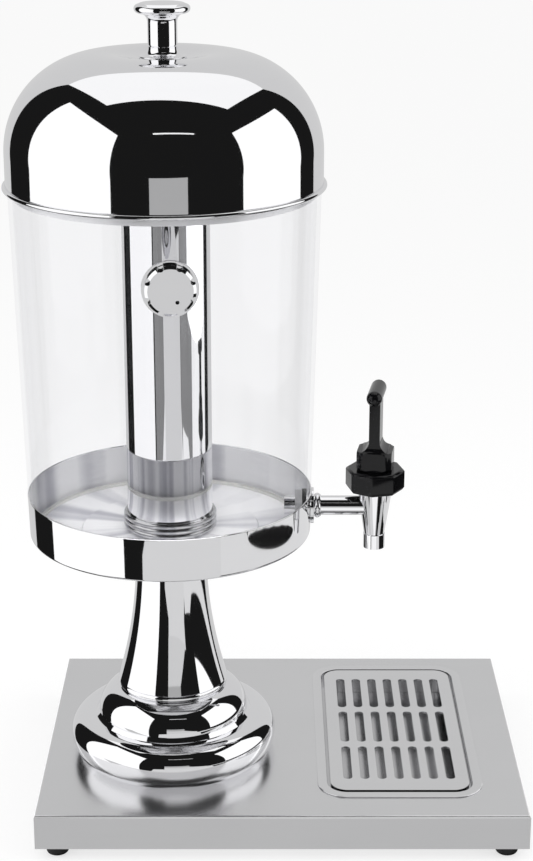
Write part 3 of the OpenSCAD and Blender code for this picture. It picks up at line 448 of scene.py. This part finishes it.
# Ridged socket on its seal
socket = {"seal": 0.8, "bore": 31, "root": 32.6, "ridge": 1, "ridges": 3, "h": 12, "floor": 3,
          "fullness": 0.8, "rows": 36}
socketZ = pan["bossZ"] + pan["sheet"] + socket["seal"]
socketTop = socketZ + socket["h"]
floorZ = socketZ + socket["floor"]
pitch = socket["h"] / socket["ridges"]
socketProfile = [(rodHole, socketZ)]
for i in range(socket["rows"] + 1):
    up = socket["h"] * i / socket["rows"]
    swell = math.sin(math.pi * (up / pitch % 1)) ** socket["fullness"] * socket["ridge"]
    socketProfile.append((socket["root"] + swell, socketZ + up))
socketProfile += [(socket["bore"], socketTop), (socket["bore"], floorZ), (rodHole, floorZ)]
stands(lathe("tubeSocket", socketProfile), "tube_socket", "darkSteelAndWellShade")

# Ice tube, closed below, with a rolled rim
tube = {"r": 30.7, "h": 238, "sheet": 0.8, "rim": 1.2, "round": 2, "play": 0.3}
tubeZ = floorZ + tube["play"]
rimZ = tubeZ + tube["h"] - tube["rim"]
tubeProfile = [(axisHole, tubeZ), (tube["r"] - tube["round"], tubeZ)]
tubeProfile += arc(tube["r"] - tube["round"], tubeZ + tube["round"], tube["round"], -90, 0, 8)[1:]
tubeProfile += [(tube["r"], rimZ - tube["rim"])] + arc(tube["r"], rimZ, tube["rim"], -80, 180, 20)
tubeProfile += [(tube["r"] - tube["sheet"], tubeZ + tube["round"]), (axisHole, tubeZ + tube["sheet"])]
iceTube = stands(lathe("iceTube", tubeProfile), "ice_tube", "mirrorSteel", "ice_tube")
print("container done")

# Lid: straight wall, round shoulder and a shallow hollow under the knob
lid = {
    "r": 109.2, "wallH": 23, "shoulder": 66.6, "hollow": 4.6, "sheet": 0.8, "screwR": 3.15,
    "bead": 1.6, "beadPlay": 0.45, "beadTop": 2.2, "hem": 0.6, "play": 0.3,
}
lidZ = wallTop + lid["play"]
shoulderZ = lidZ + lid["wallH"]
shoulderC = lid["r"] - lid["shoulder"]
crownZ = shoulderZ + lid["shoulder"] - lid["hollow"]
drop = crownZ - shoulderZ
hollowR = (shoulderC ** 2 + drop ** 2 - lid["shoulder"] ** 2) / (2 * (lid["shoulder"] - drop))
meetR = shoulderC * hollowR / (hollowR + lid["shoulder"])
meetTurn = math.degrees(math.atan2(crownZ + hollowR - shoulderZ, -shoulderC))


def hollowTurn(radius):
    return math.degrees(math.atan2(-math.sqrt(hollowR ** 2 - radius ** 2), radius))


def domeProfile(inset):
    line = [(lid["r"] - inset, shoulderZ)]
    line += arc(shoulderC, shoulderZ, lid["shoulder"] - inset, 0, meetTurn, 90)[1:]
    line += arc(0, crownZ + hollowR, hollowR + inset, hollowTurn(meetR), hollowTurn(lid["screwR"]), 20)[1:]
    return line


beadR = wallR(wallTop) + lid["bead"] + lid["beadPlay"]
outside = arc(beadR, lidZ, lid["bead"], -200, 118, 30) + [(lid["r"], lidZ + lid["beadTop"])] + domeProfile(0)
inside = domeProfile(lid["sheet"])[::-1] + [(lid["r"] - lid["sheet"], lidZ + lid["hem"])]
stands(lathe("lidDome", outside + inside, turnSteps["lid"]), "lid_dome", "mirrorSteel", "lid")

# Skirt that enters the container
skirt = {"play": 0.6, "enter": 6.5, "sheet": 0.8, "flangeR": 108.2}
skirtR = wallR(wallTop) - wall["thick"] - skirt["play"]
skirtZ = wallTop - skirt["enter"]
flangeTop = lidZ + skirt["sheet"]
skirtProfile = [(skirtR, skirtZ), (skirtR, lidZ), (skirt["flangeR"], lidZ), (skirt["flangeR"], flangeTop)]
skirtProfile += [(skirtR - skirt["sheet"], flangeTop), (skirtR - skirt["sheet"], skirtZ)]
stands(lathe("lidSkirt", skirtProfile), "lid_skirt", "brushedSteel", "lid")

# Flared base of the knob
knobBase = {"r": 16.4, "stem": 10, "h": 8, "edge": 1.2, "flare": 0.8, "seam": 0.5, "hole": 3.2, "play": 0.15}
baseZ = crownZ + hollowR - math.sqrt(hollowR ** 2 - knobBase["r"] ** 2) + knobBase["play"]
knobZ = baseZ + knobBase["h"]
rimR = knobBase["edge"] / 2
spread = knobBase["flare"] * (knobBase["r"] - knobBase["stem"])
baseProfile = [(knobBase["hole"], baseZ)] + arc(knobBase["r"] - rimR, baseZ + rimR, rimR, -90, 90, 10)
baseProfile += arc(knobBase["stem"] + spread, baseZ + knobBase["edge"] + spread, spread, -90, -180, 20)
baseProfile += [(knobBase["stem"], knobZ - knobBase["seam"]), (knobBase["stem"] - knobBase["seam"], knobZ)]
baseProfile.append((knobBase["hole"], knobZ))
stands(lathe("lidKnobBase", baseProfile, turnSteps["knob"]), "lid_knob_base", "mirrorSteel", "lid")

# Knob with a flat round head
knob = {"r": 19, "stem": 10, "h": 28, "head": 8, "roundness": 0.36, "crown": 1.6, "crownIn": 1.6,
        "seam": 0.5, "hole": 3.1, "holeH": 14}
roundR = knob["head"] * knob["roundness"]
under = knob["r"] - knob["stem"] - roundR
headZ = knobZ + knob["h"] - knob["head"] + roundR / 2
knobTop = knobZ + knob["h"]
holeTop = knobZ + knob["holeH"]
knobProfile = [(knob["hole"], knobZ), (knob["stem"] - knob["seam"], knobZ)]
knobProfile.append((knob["stem"], knobZ + knob["seam"]))
knobProfile += arc(knob["stem"] + under, headZ - under, under, 180, 90, 24)
knobProfile += arc(knob["r"] - roundR, headZ + roundR, roundR, -90, 60, 24)
knobProfile += arc(knob["r"] - roundR * knob["crownIn"], knobTop - knob["crown"], knob["crown"], 45, 90, 8)
knobProfile += [(axisHole, knobTop), (axisHole, holeTop), (knob["hole"], holeTop)]
stands(lathe("lidKnob", knobProfile, turnSteps["knob"]), "lid_knob", "mirrorSteel", "lid")
print("lid done")

# Small pieces, each with the width of its rounded edges
dripGrille = rounded("dripGrille", "drip_grille", 0.6, "sheetSteel", "drip_grille")
dripPan = rounded("dripPan", "drip_pan", 0.45, "sheetSteel", "drip_pan")
# Below its flange the drip pan takes the darker steel, painted shade of the well under the grille
dripPan.data.materials.append(materials["darkSteelAndWellShade"])
flangeFoot = plateTop + 0.2  # the drip pan is darker below its flange
for face in dripPan.data.polygons:
    if face.center.z < flangeFoot * mm:
        face.material_index = 1
rounded("frontSeat", "front_seat", 0.5, "mirrorSteel")
rounded("frontKnob", "front_knob", 0.4, "mirrorSteel", "front_knob")
tapBody = rounded("tapBody", "tap_body", 0.35, "mirrorSteel")
rounded("tapWasher", "tap_washer", 0.4, "mirrorSteel")
rounded("tapBonnet", "tap_bonnet", 0.6, "blackPlastic")
rounded("tapLever", "tap_lever", 0.7, "blackPlastic", "tap_lever")

# Closing spring: a copy of its CAD node, and the share of its height left when the stem is fully lifted
tapSpring = finishMesh("tapSpring", frame["nodes"]["tap_spring"].data.copy(), creased["other"])
stands(tapSpring, "tap_spring", "plainSteel")
springLow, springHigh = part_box("tap_spring")
joints = frame["record"]["behaviour"]["joints"]
stemLift = next(joint for joint in joints if joint["name"] == "tap_stem_lift")
springKeep = 1 - stemLift["range_m"][1] / (springHigh.z - springLow.z)
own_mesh(tapSpring)
print("tap, knob and tray done")

# Stage in metres: azimuths run from the front to the right, distances from the container's axis
centreX = axisX * mm
centreY = axisY * mm
white = (1, 1, 1, 1)


def spot(azimuth, distance, height):
    turn = math.radians(azimuth)
    return Vector((centreX + distance * math.sin(turn), centreY - distance * math.cos(turn), height))


# A glowing sheet that only mirrored rays see
def card(name, corners, tone):
    glow = Shade(name)
    mesh = bpy.data.meshes.new(name)
    mesh.from_pydata(corners, [], [range(len(corners))])
    mesh.materials.append(glow.finish(glow.add("Emission", {}, {"Color": white, "Strength": tone})))
    piece = bpy.data.objects.new(name, mesh)
    scene.collection.objects.link(piece)
    piece.visible_camera = False
    piece.visible_diffuse = False
    piece.visible_shadow = False
    piece.visible_transmission = False
    piece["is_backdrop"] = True


# A lamp on every piece, or only on those given
def areaLamp(name, middle, facing, width, height, tone, only=()):
    lamp = bpy.data.lights.new(name, "AREA")
    lamp.shape = "RECTANGLE"
    lamp.size = width
    lamp.size_y = height
    lamp.energy = math.pi * width * height * tone
    box = bpy.data.objects.new(name, lamp)
    scene.collection.objects.link(box)
    box.location = middle
    box.rotation_euler = facing.to_track_quat("-Z", "Y").to_euler()
    box.visible_camera = False
    if only:
        group = bpy.data.collections.new(name)
        for piece in only:
            group.objects.link(piece)
        box.light_linking.receiver_collection = group


# An upright lamp that faces the container, its ends given as (azimuth, distance)
def softbox(name, start, end, low, high, tone, only=()):
    first = spot(*start, (low + high) / 2)
    last = spot(*end, (low + high) / 2)
    along = (last - first).normalized()
    inward = Vector((-along.y, along.x, 0))
    middle = (first + last) / 2
    if inward.dot(Vector((centreX, centreY, middle.z)) - middle) < 0:
        inward.negate()
    areaLamp(name, middle, inward, (last - first).length, high - low, tone, only)


# Studio round the container
softbox("leftBox", start=(-103, 1.0), end=(-34, 1.38), low=-0.5, high=1.47, tone=1.15)
softbox("rightBox", start=(57, 1.1), end=(111, 1.1), low=0.05, high=1.19, tone=1.15)
backCorners = ((-137, 1.71, -1), (134, 1.8, -1), (133, 1.8, 2), (-135, 1.71, 2))
card("backWall", [spot(*corner) for corner in backCorners], tone=0.66)
ceilingZ = 2
ceilingCorners = ((-0.83, -0.25), (1.06, -0.25), (1.35, 1.45), (-1.29, 1.45))
card("overhead", [(centreX + x, centreY + y, ceilingZ) for x, y in ceilingCorners], tone=1.05)

# Light sheet on the table in front
tableZ = 0.001
tableEdge = ((-18, 0.12), (10, 0.12), (40, 0.12), (40, 0.62), (36, 0.85),
             (36, 1.9), (-7, 1.9), (-7, 0.85), (-18, 0.58))
card("tableSheet", [spot(a, r, tableZ) for a, r in tableEdge], tone=0.72)

# Low screen across it, wider at its foot
frontAway = 1.25
screen = {"left": -0.165, "width": 0.575, "footWidth": 1.05, "middle": 0.2, "top": 0.34}
screenParts = (("screenFoot", tableZ, screen["middle"], screen["footWidth"], 0.66),
               ("screenTop", screen["middle"], screen["top"], screen["width"], 0.43))
for name, low, high, width, tone in screenParts:
    corners = ((0, low), (width, low), (screen["width"], high), (0, high))
    card(name, [(centreX + screen["left"] + x, centreY - frontAway, z) for x, z in corners], tone)

# Dark patch on the table at the right, which the band mirrors as an ellipse
patch = {"turn": 88, "halfTurn": 25.4, "distance": 0.594, "skew": -0.0076, "near": -0.035, "far": 0.021}
sheetInner = 0.5


def patchEdge(reach, count):
    edge = []
    for i in range(count + 1):
        across = -math.cos(math.pi * i / count)
        distance = patch["distance"] + patch["skew"] * across + reach * math.sqrt(1 - across ** 2)
        edge.append((patch["turn"] + patch["halfTurn"] * across, distance))
    return edge


nearEdge = [(40, 0.76), (55, 0.72)] + patchEdge(patch["near"], 24) + [(119, 0.7), (136, 0.76), (153, 0.78)]
innerEdge = [(a, sheetInner) for a, r in reversed(nearEdge)]
card("sideSheet", [spot(a, r, tableZ) for a, r in nearEdge + innerEdge], tone=0.76)
farEdge = patchEdge(patch["far"], 8)
for start, end in zip(farEdge, farEdge[1:]):
    softbox("patchBack", start, end, low=0.0008, high=0.03, tone=0.8, only=(containerPan,))

# Greyer strip along the plate's front, over the table sheet
strip = {"left": -0.33, "right": 0.48, "near": 0.113, "far": 0.212, "height": 0.0015, "tone": 0.6}
stripCorners = ((strip["left"], strip["far"]), (strip["right"], strip["far"]),
                (strip["right"], strip["near"]), (strip["left"], strip["near"]))
card("plateFoot", [(centreX + x, centreY - y, strip["height"]) for x, y in stripCorners], strip["tone"])

# Thin light high in front, the fine line on the lid
lidLine = ((-0.13, 1.518), (0.645, 1.58), (0.65, 1.638), (-0.135, 1.579))
card("lidLine", [(centreX + x, centreY - frontAway, z) for x, z in lidLine], tone=1.1)

# Strips that the ice tube alone mirrors
stripAway = 0.45
tubeStrips = (("stripLeft", -30, -6, 0.25), ("stripRight", 36, 67, 0.25), ("stripEdge", 67, 114, 1.05))
for name, start, end, tone in tubeStrips:
    softbox(name, (start, stripAway), (end, stripAway), low=0.06, high=0.36, tone=tone, only=(iceTube,))

# Fill for the inside of the pan, and for the tap's cone
softbox("panFill", start=(-35, 0.6), end=(45, 0.6), low=0.34, high=0.75, tone=3.8, only=(containerPan,))
softbox("tapBounce", start=(5, 0.3), end=(50, 0.3), low=0.005, high=0.16, tone=0.3, only=(tapBody,))

# Light sides and table for plate and tray, seen from other angles
tray = (frame["nodes"]["base_plate"], dripPan, dripGrille)
sideAway = 1.3
for name, start, end in (("plateFront", -34, 57), ("plateRight", 106, 140), ("plateLeft", -140, -98)):
    softbox(name, (start, sideAway), (end, sideAway), low=0.12, high=1.25, tone=0.7, only=tray)
underPlate = Vector(((cadLow.x + cadHigh.x) / 2, (cadLow.y + cadHigh.y) / 2, 0.0006))
upward = Vector((0, 0, 1))
areaLamp("plateTable", underPlate, upward, width=1.5, height=1.3, tone=0.6, only=tray)

# Floor: takes the shadow, and is lifted to white for the camera
page = {"half": 8, "height": -0.0005, "paper": (0.36, 0.36, 0.36), "lift": 0.66}
floorShade = Shade("floor")
seen = floorShade.add("LightPath", {}, {}, "Is Camera Ray")
paper = floorShade.add("BsdfDiffuse", {}, {"Color": (*page["paper"], 1)})
lift = floorShade.add("Emission", {}, {"Color": white, "Strength": seen * page["lift"]})
floorMesh = bpy.data.meshes.new("floor")
pageCorners = ((-1, -1), (1, -1), (1, 1), (-1, 1))
floorMesh.from_pydata([(x * page["half"], y * page["half"], page["height"]) for x, y in pageCorners],
                      [], [range(len(pageCorners))])
floorMesh.materials.append(floorShade.finish(floorShade.add("AddShader", {}, {0: paper, 1: lift})))
floor = bpy.data.objects.new("floor", floorMesh)
scene.collection.objects.link(floor)
floor.visible_glossy = False
floor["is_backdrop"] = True

# World: white page, dark studio for mirrored rays, and a plain level for all other light
studio = {"mirrored": 0.01, "other": 0.8}
world = bpy.data.worlds.new("studio")
scene.world = world
world.use_nodes = True
sky = Shade("studio", world.node_tree)
isCamera = sky.add("LightPath", {}, {}, "Is Camera Ray")
isGlossy = sky.add("LightPath", {}, {}, "Is Glossy Ray")
isThrough = sky.add("LightPath", {}, {}, "Is Transmission Ray")
isOther = 1 - isCamera - isThrough - isGlossy
level = isCamera + isThrough + isGlossy * studio["mirrored"] + isOther * studio["other"]
backdrop = sky.add("Background", {}, {"Color": white, "Strength": level})
sky.add("OutputWorld", {}, {"Surface": backdrop})
print("stage done")

# Camera, placed from the container's axis
view = {"right": 0.06982, "away": 1.33047, "height": 0.7309, "tilt": 71.38, "lens": 81.93, "near": 0.05}
camera = bpy.data.objects.new("camera", bpy.data.cameras.new("camera"))
scene.collection.objects.link(camera)
camera.location = (centreX + view["right"], centreY - view["away"], view["height"])
camera.rotation_euler = (math.radians(view["tilt"]), 0, 0)
camera.data.lens = view["lens"]
camera.data.clip_start = view["near"]
scene.camera = camera

low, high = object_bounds()
